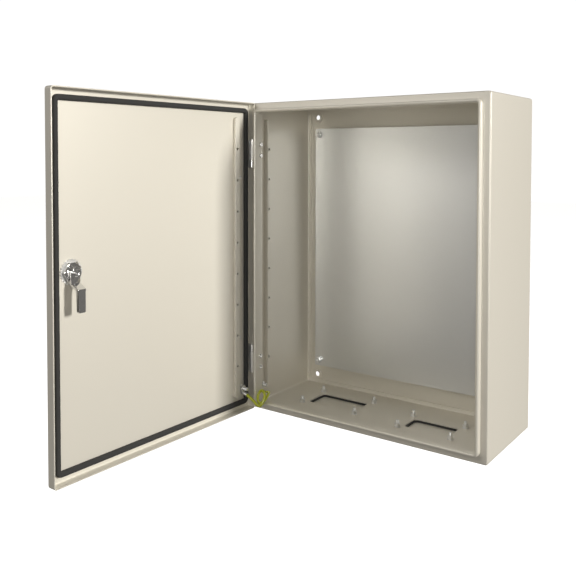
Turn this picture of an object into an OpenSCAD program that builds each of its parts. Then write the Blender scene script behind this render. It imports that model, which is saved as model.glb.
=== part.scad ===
// Wall-mounted sheet steel combiner box with its door open: a welded cabinet with a rolled rain rim,
// a galvanised mounting plate, two gland plates in the floor, a gasketed door on two concealed hinges,
// a quarter-turn lock with a cranked cam, and a bonding wire from the door to the cabinet.
// Millimetres, +Z up, the door side faces -Y. The origin is the middle of the four wall fixing holes,
// on the back face that lies against the wall.

/* [Cabinet] */
// Outside width of the cabinet
width = 400; // [320:5:600]
// Outside height of the cabinet
height = 500; // [400:5:800]
// Depth of the cabinet without the door
body_depth = 176; // [140:1:300]
// Sheet thickness of the cabinet
sheet = 1.5; // [1:0.1:2]
// Radius of the cabinet's outside corners, seen from the front
corner_radius = 4; // [3.5:0.5:8]
// Width of the flat flange round the front, on the top, the bottom and the lock side
flange_width = 10; // [8:0.5:16]
// Width of the flat flange on the hinge side
hinge_flange_width = 12.8; // [12.6:0.2:18]
// Width of the rolled rim that meets the gasket
rim_width = 5.5; // [5:0.1:7]
// How far the rolled rim stands out in front of the flange
rim_height = 9; // [8.6:0.1:10]
// Corner radius of the rolled rim
rim_corner = 8; // [7:0.5:14]
// How deep the rim's inner leg reaches behind the flange on the hinge side
hinge_leg_depth = 10; // [9:0.5:16]
// Width of the flange that the back panel is welded to
rear_flange = 8; // [7:0.5:14]

/* [Wall fixing] */
// Distance from the cabinet's side to the wall fixing holes
wall_inset_x = 22; // [18:0.5:40]
// Distance from the cabinet's top or bottom to the wall fixing holes
wall_inset_z = 17; // [16:0.5:24]
// Diameter of the wall fixing holes
wall_hole = 8.5; // [6.5:0.5:11]
// Diameter of the pressed boss round each wall fixing hole
wall_boss = 18; // [15:1:22]

/* [Mounting plate] */
// Gap from the cabinet's side to the mounting plate
plate_side_gap = 25; // [20:1:60]
// Gap from the cabinet's top or bottom to the mounting plate
plate_end_gap = 37.5; // [28:0.5:80]
// Thickness of the mounting plate
plate_thickness = 2; // [1.5:0.1:3]
// Height of the collars that hold the plate off the back panel
collar_height = 11.5; // [8:0.5:30]
// Distance of the fixing studs in from the plate's edges, across
stud_inset_x = 8; // [8:0.5:20]
// Distance of the fixing studs in from the plate's edges, up
stud_inset_z = 10.5; // [8:0.5:20]

/* [Side rails] */
// How far a side rail stands out from the cabinet's side
rail_height = 7.5; // [6:0.5:12]
// Width of a side rail
rail_width = 8; // [7:0.5:14]
// Distance from the front flange to the front of a side rail
rail_setback = 38; // [30:1:60]
// Gap from the cabinet's top or bottom to the end of a rail
rail_end_gap = 25; // [20:1:50]
// Spacing of the holes along the rails
hole_pitch = 50; // [25:5:50]
// Diameter of the holes along the rails
rail_hole = 4; // [3:0.1:5]

/* [Gland plates] */
// Spacing of the middles of the two gland plates
gland_spacing = 172; // [130:1:220]
// How far the pair of gland plates stands off the middle, towards the lock side when positive
gland_shift = -4; // [-20:1:20]
// Width of the cable opening under the left gland plate
gland_left_width = 86; // [60:1:104]
// Depth of the cable opening under the left gland plate
gland_left_depth = 50; // [36:1:60]
// Width of the cable opening under the right gland plate
gland_right_width = 72; // [50:1:86]
// Depth of the cable opening under the right gland plate
gland_right_depth = 40; // [30:1:50]
// Thickness of a gland plate
gland_thickness = 2; // [1.5:0.1:3]
// Thickness of the gasket between a gland plate and the floor
gland_gasket_thickness = 3; // [2:0.2:5]

/* [Door] */
// Depth of the door from its face to the edge of its returns
door_depth = 14; // [13:0.1:18]
// Sheet thickness of the door
door_sheet = 1.5; // [1.2:0.1:2]
// Width of the door gasket
gasket_width = 7.5; // [6.5:0.5:12]
// Gap between the closed door's gasket and the rolled rim
gasket_play = 0.4; // [0.3:0.1:1]
// How far the door stands open from closed
door_open = 91.5; // [0:0.5:97]
// Gap from the door's ends to the ends of the stiffener rail
stiffener_end_gap = 24; // [22:1:50]
// Width of the stiffener rail
stiffener_width = 10; // [8:0.5:16]
// Height of the stiffener rail off the door panel
stiffener_height = 5.5; // [4:0.5:7]

/* [Hinges] */
// Diameter of the hinge knuckles
knuckle = 5.2; // [5:0.1:6.4]
// Diameter of the hinge pins
pin = 3.2; // [3:0.1:4]
// Gap between the hinge knuckles and the rolled rim
hinge_rim_gap = 1.4; // [0.5:0.1:2]
// Gap between the hinge knuckles and the front flange
hinge_flange_gap = 3; // [2.8:0.1:3.4]
// Length of the knuckle on the cabinet
knuckle_long = 34; // [28:1:45]
// Length of the knuckle on the door
knuckle_short = 11; // [8:0.5:16]
// Distance from the door's top or bottom to the middle of a hinge
hinge_end_gap = 82; // [60:1:120]

/* [Lock] */
// Distance from the door's free edge to the middle of the lock
lock_inset = 36.5; // [32:0.5:46]
// Height of the lock above the middle of the door
lock_height = 17; // [-100:1:100]
// Length of the cam from the lock's axis to its tip
cam_length = 50; // [40:1:60]
// How far the lock is turned from pointing down
lock_turn = 0; // [0:5:90]

/* [Shown node] */
// The node to show on its own

/* [Hidden] */
$fn = 48;
clear = 0.05;                       // radial play of a stud or a pin in its hole
gap = 0.3;                          // space left beside a hinge knuckle and behind the cam
swing_play = 0.15;                  // space left between the front flange and the swinging door
left = -width / 2;
right = width / 2;
bottom = -height / 2;
top = height / 2;
front = -body_depth;                // the plane of the front flange
panel_back = 0;
panel_front = -sheet;               // inside face of the back panel
wall_pitch_x = width - 2 * wall_inset_x;
wall_pitch_z = height - 2 * wall_inset_z;

// Rolled rim
rim_w = width - hinge_flange_width - flange_width;
rim_h = height - 2 * flange_width;
rim_x = (hinge_flange_width - flange_width) / 2;
rim_nose = rim_width / 2;
wall_cut = 20;                      // inner end of the slanted cuts where two walls meet
leg_end = front + 1;                // rear edge of the rim's inner leg, away from the hinges

// Mounting plate
plate_w = width - 2 * plate_side_gap;
plate_h = height - 2 * plate_end_gap;
plate_back = panel_front - collar_height;
plate_front = plate_back - plate_thickness;
plate_stud_x = plate_w / 2 - stud_inset_x;
plate_stud_z = plate_h / 2 - stud_inset_z;
plate_stud = 6;
plate_stud_tip = 9.5;
plate_nut_flats = 10;
plate_nut_height = 5;
plate_washer = 12.5;
washer_thickness = 1.2;
collar = 12;

// Gland plates: middle of each one, and its four studs
gland_left_x = gland_shift - gland_spacing / 2;
gland_right_x = gland_shift + gland_spacing / 2;
gland_left_y = front + 100;
gland_right_y = front + 86;
gland_border_x = 17;
gland_border_y = 19;
gland_stud_out_x = 6.5;
gland_stud_out_y = 8.5;
gland_corner = 6;
gland_stud = 5;
gland_nut_flats = 8;
gland_nut_height = 4.5;
gland_washer = 10;
gland_washer_thickness = 1;
gland_stud_tip = 12;                // how far a gland stud stands up above the floor's underside

rail_holes = floor((height / 2 - rail_end_gap - 8) / hole_pitch + 0.5);
stiffener_holes = floor((height / 2 - stiffener_end_gap - 14) / hole_pitch + 0.5);

// Door, drawn closed; on_door() swings it open about the hinge axis
pivot_x = left + hinge_flange_width - hinge_rim_gap - knuckle / 2;
pivot_y = front - hinge_flange_gap - knuckle / 2;
door_left = pivot_x - knuckle / 2 - gap - door_sheet;
// the edge of the door's returns, which just swings past the flange on the hinge side
door_edge = pivot_y + sqrt(pow(front - pivot_y - swing_play, 2) - pow(pivot_x - door_left, 2));
door_face = door_edge - door_depth;
door_inner = door_face + door_sheet;
door_gasket_top = front - rim_height - gasket_play;
gasket_height = door_gasket_top - door_inner;
gasket_x = rim_x;
gasket_out = (gasket_width - rim_width) / 2;
stiffener_x = left + 40;
screw_x = left + 31;
stud_x = left + 27;
door_stud_z = bottom + 36;
screw_z = top - 120;                // height of the screws beside the stiffener rail
screw_head = 6;
screw_head_height = 2.4;
socket = 2.6;                       // recess in a screw's head
socket_floor = 1.2;
gasket_round = 1.5;                 // radius of the gasket's crown at its two edges

// Hinges
hinge_height = top - hinge_end_gap;
door_leaf_depth = 4.6;
arm_front = pivot_y - 2.2;
arm_back = pivot_y + 0.2;
hollow_left = left + hinge_flange_width + sheet;
hollow_right = left + hinge_flange_width + rim_width - sheet;
hinge_plate_left = hollow_left + 0.1;
hinge_plate_right = hollow_right - 0.1;
hinge_screw = 4;
hinge_screw_head = 6.6;
hinge_screw_y = front + 5;
hinge_screw_out = 9;
leaf_back = front + hinge_leg_depth - 1;
leaf_thickness = 2;

// Lock
lock_x = right - lock_inset;
lock_z = lock_height;
barrel = 20;
bezel = 29;
bezel_height = 3;
tooth_washer = 34;
tooth_thickness = 1.6;
lock_nut_flats = 25;
lock_nut_height = 5;
rotor = 13;
rotor_proud = 0.8;                  // how far the core stands out of the lock nut
rotor_end = door_inner + tooth_thickness + lock_nut_height + rotor_proud;
teeth = 24;
tooth = 3;
drive = 7;                          // square end of the core that drives the cam
key_recess = 9;
key_recess_depth = 7;
key_pin = 3;
cam_thickness = 3;
cam_neck_width = 14.5;
cam_tip_width = 11;
cam_tip_front = front + 1.8;        // door side of the cam's tip, just behind the rim's leg
cam_tip_back = front + 8.8;
cam_bolt_washer = 15;
cam_bolt_head = 9.5;
cam_bolt_shank = 4;
cam_bolt_socket = 5;
cam_bolt_washer_top = 2.2;
cam_bolt_top = 5.2;

// Bonding studs, their lugs and the wire between them
bond_stud = 6;
bond_nut_flats = 10;
bond_nut_height = 5;
bond_washer = 12;
bond_washer_thickness = 1.2;
lug_thickness = 1;
lug_ring = 12;
lug_barrel = 6;
door_stud_length = 15;
body_stud_length = 14;
body_stud_y = front + 26;
body_stud_z = bottom + 31;
wire_diameter = 4.5;
wire_sides = 10;
wire_rings = 3;                     // rings from one chosen point to the next
lug_neck = 10;
door_lug_lean = 16;                 // lean of each lug from straight down
body_lug_lean = 30;
corner = [left, front, bottom];     // the front lower corner on the hinge side
door_lug_start = corner + [1.9, -21.3, 28.4];
body_lug_start = corner + [3, 20.8, 22.3];
wire_points = [for (p = [
    [9.7, -20.1, 25.5], [16, -19.2, 21.5], [23, -18.4, 16.5], [28.5, -18, 12.2],
    [33.8, -17, 11.5], [37.5, -14.2, 17], [38, -10, 25.5], [34, -6.4, 31.5],
    [27.5, -5, 32], [22.8, -6.2, 26], [24.5, -10.2, 18], [31, -12.4, 13.5],
    [37, -8.4, 19.5], [38.5, -1.5, 26], [35, 6, 27], [28, 12, 25.5],
    [19, 17, 22.5], [12, 19.5, 21]]) corner + p];
wire_start = wire_points[0];
wire_end = wire_points[len(wire_points) - 1];

// ---------------------------------------------------------------- shared shapes

// A block between two corners
module block(a, b) {
    translate(a) cube(b - a);
}

// A profile carried round a rounded rectangle: its x is the distance in from the outside, its y is depth
module loop(w, h, r) {
    for (m = [0, 1]) mirror([m, 0, 0]) {
        translate([-w / 2, 0, -h / 2 + r]) linear_extrude(h - 2 * r) children();
        for (n = [0, 1]) mirror([0, 0, n])
            translate([w / 2 - r, 0, -h / 2 + r]) rotate([-90, 0, 0])
                rotate_extrude(angle = 90) translate([r, 0]) mirror([1, 0]) children();
    }
    for (n = [0, 1]) mirror([0, 0, n])
        translate([w / 2 - r, 0, -h / 2]) rotate([0, -90, 0]) linear_extrude(w - 2 * r) children();
}

// A flat plate with rounded corners, standing upright, from depth y0 to depth y1
module plate(w, h, r, y0, y1) {
    translate([0, y1, 0]) rotate([90, 0, 0]) linear_extrude(y1 - y0) rounded(w, h, r);
}

// A rectangle with rounded corners, about its middle
module rounded(w, h, r) {
    square([w - 2 * r, h], center = true);
    square([w, h - 2 * r], center = true);
    for (x = [-1, 1], y = [-1, 1]) translate([x * (w / 2 - r), y * (h / 2 - r)]) circle(r);
}

// A round bar along depth, from y0 to y1
module bar_y(d, y0, y1) {
    translate([0, y0, 0]) rotate([-90, 0, 0]) cylinder(d = d, h = y1 - y0);
}

// A six-sided nut standing on its flat face, with the corners eased at its free end
module nut(flats, hole, h) {
    wide = flats / cos(30);
    difference() {
        intersection() {
            cylinder(d = wide, h = h, $fn = 6);
            union() {
                cylinder(d = wide + 1, h = h * 0.75);
                translate([0, 0, h * 0.75]) cylinder(d1 = wide + 1, d2 = flats, h = h * 0.25);
            }
        }
        translate([0, 0, -1]) cylinder(d = hole, h = h + 2);
    }
}

// A nut along depth from y0: towards the door side when h is negative, else towards the back
module nut_y(flats, hole, y0, h) {
    translate([0, y0, 0]) rotate([h > 0 ? -90 : 90, 0, 0]) nut(flats, hole, abs(h));
}

// A flat washer along depth, from y0 to y1
module washer_y(d, hole, y0, y1) {
    difference() {
        bar_y(d, y0, y1);
        bar_y(hole, y0 - 1, y1 + 1);
    }
}

// Swings what is drawn for the closed door to where the door stands
module on_door() {
    translate([pivot_x, pivot_y, 0]) rotate([0, 0, -door_open]) translate([-pivot_x, -pivot_y, 0])
        children();
}

// Turns what is drawn for the cam pointing down, about the lock's axis on the closed door
module on_lock() {
    on_door() translate([lock_x, 0, lock_z]) rotate([0, -lock_turn, 0]) children();
}

// Four places, left and right, top and bottom
module at_corners(x, z) {
    for (i = [-1, 1], k = [-1, 1]) translate([i * x, 0, k * z]) children();
}

// ---------------------------------------------------------------- cabinet

// Cross-section of the rolled rim: two legs and a round nose
module rim_section(leg) {
    centre = front - rim_height + rim_nose;
    difference() {
        union() {
            translate([rim_nose, centre]) circle(rim_nose);
            translate([0, centre]) square([rim_nose, front + sheet - centre]);
            translate([rim_nose, centre]) square([rim_nose, leg - centre]);
        }
        translate([rim_nose, centre]) circle(rim_nose - sheet);
        translate([sheet, centre]) square([rim_width - 2 * sheet, 2 * rim_height]);
    }
}

// The front flange with its rolled rim, and the rim's deeper inner leg on the hinge side
module front_frame() {
    color([0.80, 0.76, 0.68]) difference() {
        union() {
            difference() {
                plate(width, height, corner_radius, front, front + sheet);
                translate([rim_x, 0, 0])
                    plate(rim_w - 1, rim_h - 1, rim_corner - 0.5, front - 1, front + sheet + 1);
            }
            translate([rim_x, 0, 0]) loop(rim_w, rim_h, rim_corner) rim_section(leg_end);
            block([hollow_right, leg_end - 0.5, bottom + flange_width + rim_corner],
                [hollow_right + sheet, front + hinge_leg_depth, top - flange_width - rim_corner]);
        }
        // slots that the hinge arms pass through, and holes for the hinge screws
        at_hinges() {
            block([left + hinge_flange_width - 1, arm_front - clear, -knuckle_long / 2 - clear],
                [hollow_right, arm_back + clear, knuckle_long / 2 + clear]);
            for (k = [-1, 1]) translate([hollow_right - 1, hinge_screw_y, k * hinge_screw_out])
                rotate([0, 90, 0]) cylinder(d = hinge_screw + 2 * clear, h = sheet + 2);
        }
    }
}

// One wall of the cabinet: the tube of all four, kept inside an outline seen from the front
module wall(outline) {
    color([0.80, 0.76, 0.68]) intersection() {
        difference() {
            plate(width, height, corner_radius, front + sheet, -sheet);
            plate(width - 2 * sheet, height - 2 * sheet, corner_radius - sheet, front, 0);
        }
        rotate([90, 0, 0]) linear_extrude(body_depth) polygon(outline);
    }
}

module wall_left() {
    wall([[left - 1, bottom - 1], [left + wall_cut, bottom + wall_cut],
        [left + wall_cut, top - wall_cut], [left - 1, top + 1]]);
}

module wall_right() { mirror([1, 0, 0]) wall_left(); }

module wall_top() {
    wall([[left - 1, top + 1], [left + wall_cut, top - wall_cut],
        [right - wall_cut, top - wall_cut], [right + 1, top + 1]]);
}

module floor_wall() {
    color([0.80, 0.76, 0.68]) difference() {
        mirror([0, 0, 1]) wall_top();
        // openings in the floor under the gland plates, with holes for their studs
        gland_opening(gland_left_x, gland_left_y, gland_left_width, gland_left_depth);
        gland_opening(gland_right_x, gland_right_y, gland_right_width, gland_right_depth);
    }
}

// The flange turned in at the rear, that the back panel is welded to
module rear_frame() {
    color([0.80, 0.76, 0.68]) difference() {
        plate(width - 2 * sheet, height - 2 * sheet, corner_radius - sheet, -2 * sheet, -sheet);
        plate(width - 2 * rear_flange, height - 2 * rear_flange, rear_flange, -2 * sheet - 1, 0);
    }
}

// A cable opening in the floor and the four stud holes beside it
module gland_opening(x, y, w, d) {
    translate([x, y, bottom - 1]) {
        linear_extrude(sheet + 2) rounded(w, d, gland_corner);
        at_studs(w, d) cylinder(d = gland_stud + 2 * clear, h = sheet + 2);
    }
}

// The four studs of a gland plate about its middle
module at_studs(w, d) {
    for (i = [-1, 1], j = [-1, 1])
        translate([i * (w / 2 + gland_stud_out_x), j * (d / 2 + gland_stud_out_y), 0]) children();
}

module back_panel() {
    color([0.78, 0.74, 0.66]) difference() {
        union() {
            plate(width - 2 * sheet, height - 2 * sheet, corner_radius, -sheet, 0);
            at_corners(wall_pitch_x / 2, wall_pitch_z / 2) bar_y(wall_boss, -2 * sheet, -sheet / 2);
        }
        at_corners(wall_pitch_x / 2, wall_pitch_z / 2) bar_y(wall_hole, -2 * sheet - 1, 1);
    }
}

// A perforated channel welded upright to the cabinet's side, drawn for the left side
module side_rail() {
    y0 = front + rail_setback;
    x0 = left + sheet;
    z1 = top - rail_end_gap;
    difference() {
        block([x0, y0, -z1], [x0 + rail_height, y0 + rail_width, z1]);
        block([x0 - 1, y0 + sheet, -z1 - 1],
            [x0 + rail_height - sheet, y0 + rail_width - sheet, z1 + 1]);
        for (n = [-rail_holes : rail_holes - 1])
            translate([x0 + rail_height - sheet - 1, y0 + rail_width / 2, (n + 0.5) * hole_pitch])
                rotate([0, 90, 0]) cylinder(d = rail_hole, h = sheet + 2);
    }
}

module side_rail_left() { color([0.78, 0.74, 0.66]) side_rail(); }

module side_rail_right() { color([0.78, 0.74, 0.66]) mirror([1, 0, 0]) side_rail(); }

// ---------------------------------------------------------------- mounting plate

module plate_studs() {
    color([0.72, 0.72, 0.72]) at_corners(plate_stud_x, plate_stud_z)
        bar_y(plate_stud, plate_front - plate_stud_tip, panel_front);
}

module plate_collars() {
    color([0.72, 0.72, 0.72]) at_corners(plate_stud_x, plate_stud_z)
        washer_y(collar, plate_stud + 2 * clear, plate_back, panel_front);
}

module mounting_plate() {
    color([0.76, 0.77, 0.78]) difference() {
        plate(plate_w, plate_h, 2, plate_front, plate_back);
        at_corners(plate_stud_x, plate_stud_z)
            bar_y(plate_stud + 2 * clear, plate_front - 1, plate_back + 1);
    }
}

module plate_washers() {
    color([0.80, 0.80, 0.80]) at_corners(plate_stud_x, plate_stud_z)
        washer_y(plate_washer, plate_stud + 2 * clear, plate_front - washer_thickness, plate_front);
}

module plate_nuts() {
    color([0.80, 0.80, 0.80]) at_corners(plate_stud_x, plate_stud_z)
        nut_y(plate_nut_flats, plate_stud + 2 * clear, plate_front - washer_thickness,
            -plate_nut_height);
}

// ---------------------------------------------------------------- gland plates

// A painted plate under the floor with four welded studs
module gland_plate(x, y, w, d) {
    color([0.80, 0.76, 0.68]) translate([x, y, bottom - gland_gasket_thickness]) {
        translate([0, 0, -gland_thickness]) linear_extrude(gland_thickness)
            rounded(w + 2 * gland_border_x, d + 2 * gland_border_y, gland_corner);
        at_studs(w, d) translate([0, 0, -gland_thickness / 2])
            cylinder(d = gland_stud, h = gland_thickness / 2 + gland_gasket_thickness + gland_stud_tip);
    }
}

module gland_plate_left() {
    gland_plate(gland_left_x, gland_left_y, gland_left_width, gland_left_depth);
}

module gland_plate_right() {
    gland_plate(gland_right_x, gland_right_y, gland_right_width, gland_right_depth);
}

// A flat foam gasket between a gland plate and the floor
module gland_gasket(x, y, w, d) {
    color([0.08, 0.08, 0.08]) translate([x, y, bottom - gland_gasket_thickness])
        difference() {
            linear_extrude(gland_gasket_thickness)
                rounded(w + 2 * gland_border_x, d + 2 * gland_border_y, gland_corner);
            translate([0, 0, -1]) linear_extrude(gland_gasket_thickness + 2)
                rounded(w - 4, d - 4, gland_corner - 2);
            translate([0, 0, -1]) at_studs(w, d)
                cylinder(d = gland_stud + 2 * clear, h = gland_gasket_thickness + 2);
        }
}

module gland_gasket_left() {
    gland_gasket(gland_left_x, gland_left_y, gland_left_width, gland_left_depth);
}

module gland_gasket_right() {
    gland_gasket(gland_right_x, gland_right_y, gland_right_width, gland_right_depth);
}

// All eight gland studs, from the floor's inside face
module at_gland_studs() {
    translate([gland_left_x, gland_left_y, bottom + sheet])
        at_studs(gland_left_width, gland_left_depth) children();
    translate([gland_right_x, gland_right_y, bottom + sheet])
        at_studs(gland_right_width, gland_right_depth) children();
}

module gland_washers() {
    color([0.80, 0.80, 0.80]) at_gland_studs() difference() {
        cylinder(d = gland_washer, h = gland_washer_thickness);
        translate([0, 0, -1]) cylinder(d = gland_stud + 2 * clear, h = gland_washer_thickness + 2);
    }
}

module gland_nuts() {
    color([0.80, 0.80, 0.80]) at_gland_studs() translate([0, 0, gland_washer_thickness])
        nut(gland_nut_flats, gland_stud + 2 * clear, gland_nut_height);
}

// ---------------------------------------------------------------- door

module door_skin() {
    color([0.88, 0.85, 0.77]) on_door() difference() {
        translate([(door_left + right) / 2, 0, 0]) difference() {
            plate(right - door_left, height, corner_radius, door_face, door_edge);
            plate(right - door_left - 2 * door_sheet, height - 2 * door_sheet,
                corner_radius - door_sheet, door_inner, front);
        }
        translate([lock_x, 0, lock_z]) bar_y(barrel + 2 * clear, door_face - 1, door_inner + 1);
    }
}

module door_gasket() {
    color([0.06, 0.06, 0.06]) on_door() translate([gasket_x, 0, 0])
        loop(rim_w + 2 * gasket_out, rim_h + 2 * gasket_out, rim_corner + gasket_out) {
            translate([0, door_inner]) square([gasket_width, gasket_height - gasket_round]);
            translate([gasket_round, door_inner])
                square([gasket_width - 2 * gasket_round, gasket_height]);
            for (x = [gasket_round, gasket_width - gasket_round])
                translate([x, door_gasket_top - gasket_round]) circle(gasket_round);
        }
}

module door_stiffener() {
    z1 = top - stiffener_end_gap;
    color([0.82, 0.78, 0.70]) on_door() difference() {
        translate([stiffener_x, door_inner, 0]) union() {
            for (k = [-1, 1]) translate([0, 0, k * (z1 - stiffener_width / 2)])
                bar_y(stiffener_width, 0, stiffener_height);
            block([-stiffener_width / 2, 0, -z1 + stiffener_width / 2],
                [stiffener_width / 2, stiffener_height, z1 - stiffener_width / 2]);
        }
        block([stiffener_x - stiffener_width / 2 + sheet, door_inner - 1, -z1 + stiffener_width],
            [stiffener_x + stiffener_width / 2 - sheet, door_inner + stiffener_height - sheet,
                z1 - stiffener_width]);
        for (n = [-stiffener_holes : stiffener_holes - 1])
            translate([stiffener_x, 0, (n + 0.5) * hole_pitch])
                bar_y(rail_hole, door_inner + stiffener_height - sheet - 1, front);
    }
}

module stiffener_screws() {
    color([0.80, 0.80, 0.80]) on_door() for (k = [-1, 1])
        translate([screw_x, 0, k * screw_z]) difference() {
            bar_y(screw_head, door_inner, door_inner + screw_head_height);
            bar_y(socket, door_inner + socket_floor, door_inner + screw_head_height + 1);
        }
}

// ---------------------------------------------------------------- hinges

// The middle of the long knuckle of each hinge
module at_hinges() {
    for (k = [-1, 1]) mirror([0, 0, k > 0 ? 0 : 1])
        translate([0, 0, hinge_height + knuckle_short / 2]) children();
}

module hinge_frame_leaves() {
    color([0.82, 0.82, 0.82]) at_hinges() difference() {
        translate([0, 0, -knuckle_long / 2]) linear_extrude(knuckle_long) {
            translate([pivot_x, pivot_y]) circle(d = knuckle);
            translate([pivot_x, arm_front]) square([hinge_plate_right - pivot_x, arm_back - arm_front]);
            translate([hinge_plate_left, arm_front])
                square([hinge_plate_right - hinge_plate_left, leaf_back - arm_front]);
        }
        translate([pivot_x, pivot_y, -knuckle_long]) cylinder(d = pin + 2 * clear, h = 2 * knuckle_long);
        for (k = [-1, 1]) translate([hinge_plate_left - 1, hinge_screw_y, k * hinge_screw_out])
            rotate([0, 90, 0]) cylinder(d = hinge_screw + 2 * clear, h = rim_width);
    }
}

module hinge_door_leaves() {
    door_leaf_top = -knuckle_long / 2 - gap;
    color([0.82, 0.82, 0.82]) on_door() at_hinges() difference() {
        union() {
            translate([pivot_x, pivot_y, door_leaf_top - knuckle_short])
                cylinder(d = knuckle, h = knuckle_short);
            block([door_left + door_sheet, door_inner, door_leaf_top - knuckle_short],
                [pivot_x, pivot_y, door_leaf_top]);
            block([door_left + door_sheet, door_inner, door_leaf_top - knuckle_short],
                [door_left + door_sheet + leaf_thickness, door_inner + door_leaf_depth, knuckle_long / 2]);
        }
        translate([pivot_x, pivot_y, -2 * knuckle_long])
            cylinder(d = pin + 2 * clear, h = 3 * knuckle_long);
    }
}

module hinge_pins() {
    color([0.86, 0.86, 0.86]) at_hinges()
        translate([pivot_x, pivot_y, -knuckle_long / 2 - gap - knuckle_short + 0.5])
            cylinder(d = pin, h = knuckle_long + knuckle_short + gap);
}

module hinge_screws() {
    color([0.80, 0.80, 0.80]) at_hinges() for (k = [-1, 1])
        translate([0, hinge_screw_y, k * hinge_screw_out]) rotate([0, 90, 0]) {
            translate([0, 0, hinge_plate_left + 0.2])
                cylinder(d = hinge_screw, h = hollow_right + sheet - hinge_plate_left - 0.1);
            translate([0, 0, hollow_right + sheet]) difference() {
                cylinder(d = hinge_screw_head, h = screw_head_height);
                translate([0, 0, socket_floor]) cylinder(d = socket, h = screw_head_height);
            }
        }
}

// ---------------------------------------------------------------- lock

module lock_housing() {
    color([0.75, 0.75, 0.76]) on_door() translate([lock_x, 0, lock_z]) difference() {
        union() {
            bar_y(bezel, door_face - bezel_height, door_face);
            bar_y(barrel, door_face - 1, rotor_end - gap);
        }
        bar_y(rotor + 2 * clear, door_face - bezel_height - 1, front);
    }
}

module lock_washer() {
    color([0.60, 0.60, 0.60]) on_door() translate([lock_x, 0, lock_z]) difference() {
        union() {
            bar_y(tooth_washer - 2, door_inner, door_inner + tooth_thickness);
            for (n = [0 : teeth - 1]) rotate([0, n * 360 / teeth, 0])
                translate([(tooth_washer - tooth) / 2, 0, 0])
                    bar_y(tooth, door_inner, door_inner + tooth_thickness);
        }
        bar_y(barrel + 2 * clear, door_inner - 1, door_inner + tooth_thickness + 1);
    }
}

module lock_nut() {
    color([0.85, 0.85, 0.86]) on_door() translate([lock_x, 0, lock_z])
        nut_y(lock_nut_flats, barrel + 2 * clear, door_inner + tooth_thickness, lock_nut_height);
}

// The turning core: a two-bit key end outside, a shoulder and a square end for the cam inside
module lock_rotor() {
    key_y = door_face - bezel_height;
    color([0.70, 0.70, 0.72]) on_lock() difference() {
        union() {
            bar_y(rotor, key_y + 0.6, rotor_end);
            translate([-drive / 2, rotor_end - 1, -drive / 2])
                cube([drive, cam_thickness + 0.8, drive]);
        }
        difference() {
            bar_y(key_recess, key_y - 1, key_y + key_recess_depth);
            bar_y(key_pin, key_y - 2, key_y + key_recess_depth);
            for (a = [0, 180]) rotate([0, a, 0])
                translate([1.2, key_y - 2, -1]) cube([1.7, 10, 2]);
        }
        bar_y(cam_bolt_shank + 0.2, rotor_end - 8, front + 4);
    }
}

// Side view of the cam, from the neck over the crank to the thick tip: x is down, y is depth
module cam_side() {
    neck = rotor_end;
    polygon([[-7.3, neck], [13, neck], [17, neck + 2], [21, cam_tip_front],
        [cam_length - 1, cam_tip_front + 1.6], [cam_length, cam_tip_front + 2.6],
        [cam_length, cam_tip_back - 1], [cam_length - 1, cam_tip_back], [20, cam_tip_back],
        [13.5, neck + cam_thickness], [-7.3, neck + cam_thickness]]);
}

// Front view of the cam: x is down, y is across
module cam_front() {
    n = cam_neck_width / 2;
    t = cam_tip_width / 2;
    circle(n);
    polygon([[0, -n], [15, -n], [24, -t], [cam_length - 1.5, -t], [cam_length, -t + 1.5],
        [cam_length, t - 1.5], [cam_length - 1.5, t], [24, t], [15, n], [0, n]]);
}

module cam() {
    color([0.88, 0.88, 0.88]) on_lock() difference() {
        intersection() {
            translate([cam_neck_width, 0, 0]) rotate([0, 90, 180]) mirror([0, 1, 0])
                linear_extrude(2 * cam_neck_width) cam_side();
            translate([0, cam_tip_back + 1, 0]) rotate([90, 90, 0])
                linear_extrude(2 * door_depth + cam_tip_back - front) cam_front();
        }
        translate([-drive / 2 - clear, rotor_end - 1, -drive / 2 - clear])
            cube([drive + 2 * clear, cam_thickness + 2, drive + 2 * clear]);
    }
}

module cam_bolt() {
    y0 = rotor_end + cam_thickness;
    color([0.88, 0.88, 0.88]) on_lock() {
        bar_y(cam_bolt_washer, y0 + 1, y0 + cam_bolt_washer_top);
        bar_y(cam_bolt_shank, rotor_end - 7, y0 + cam_bolt_washer_top);
        difference() {
            bar_y(cam_bolt_head, y0 + cam_bolt_washer_top, y0 + cam_bolt_top);
            bar_y(cam_bolt_socket, y0 + cam_bolt_top - 1.2, y0 + cam_bolt_top + 1);
        }
    }
}

// ---------------------------------------------------------------- bonding

module door_bond_stud() {
    color([0.80, 0.78, 0.70]) on_door() translate([stud_x, 0, door_stud_z])
        bar_y(bond_stud, door_inner, door_inner + door_stud_length);
}

module door_bond_nut() {
    color([0.82, 0.82, 0.82]) on_door() translate([stud_x, 0, door_stud_z])
        nut_y(bond_nut_flats, bond_stud + 2 * clear, door_inner + bond_washer_thickness
            + lug_thickness, bond_nut_height);
}

module door_bond_washer() {
    color([0.80, 0.80, 0.80]) on_door() translate([stud_x, 0, door_stud_z])
        washer_y(bond_washer, bond_stud + 2 * clear, door_inner, door_inner + bond_washer_thickness);
}

// Turns what is drawn along depth to stand out from the cabinet's left side
module on_side(y, z) {
    translate([left + sheet, y, z]) rotate([0, 0, -90]) children();
}

module body_bond_stud() {
    color([0.80, 0.78, 0.70]) on_side(body_stud_y, body_stud_z) bar_y(bond_stud, 0, body_stud_length);
}

module body_bond_nut() {
    color([0.82, 0.82, 0.82]) on_side(body_stud_y, body_stud_z)
        nut_y(bond_nut_flats, bond_stud + 2 * clear, bond_washer_thickness + lug_thickness,
            bond_nut_height);
}

module body_bond_washer() {
    color([0.80, 0.80, 0.80]) on_side(body_stud_y, body_stud_z)
        washer_y(bond_washer, bond_stud + 2 * clear, 0, bond_washer_thickness);
}

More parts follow.
